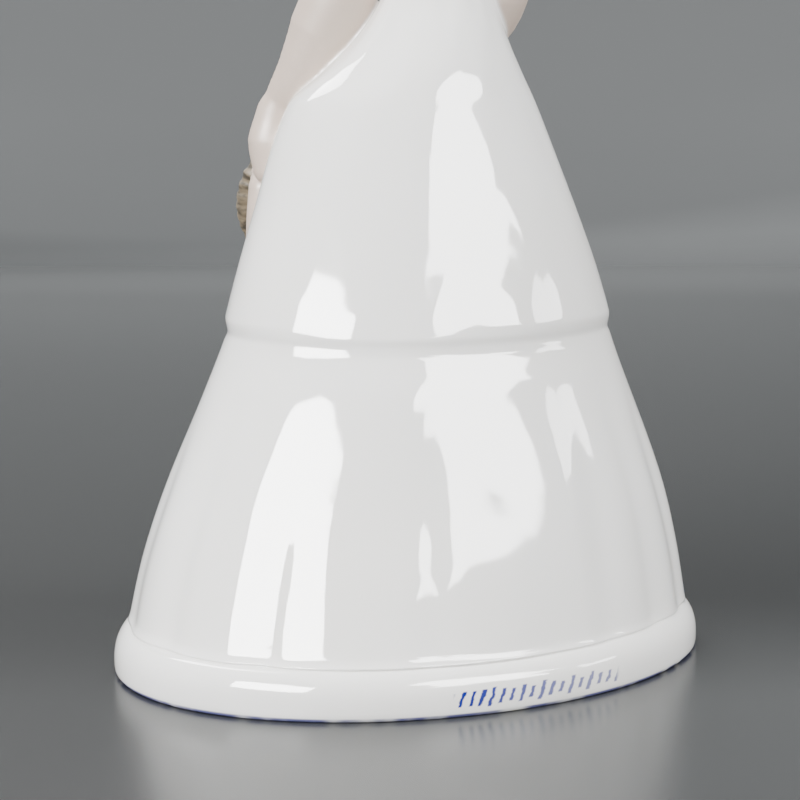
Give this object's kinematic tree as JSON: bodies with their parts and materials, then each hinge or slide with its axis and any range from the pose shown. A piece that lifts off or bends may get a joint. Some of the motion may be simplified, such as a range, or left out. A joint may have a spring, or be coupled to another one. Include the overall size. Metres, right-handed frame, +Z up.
{
  "type": "porcelain figurine",
  "caption": "Glazed porcelain figurine of a mother in a long flounced skirt leading a small child by both hands, on a low oval base.",
  "frame": {"origin": "centre of the underside of the oval base", "axes": "+Z up through the mother, -Y the way she faces, +X towards her left hand"},
  "size_m": [0.1312, 0.1297, 0.2249],
  "materials": {
    "glazed_porcelain": "white hard-paste porcelain under a clear gloss glaze, with skin, hair and shoes tinted under the glaze"
  },
  "bodies": {
    "root": {"figurine": "glazed_porcelain"}
  },
  "joints": []
}
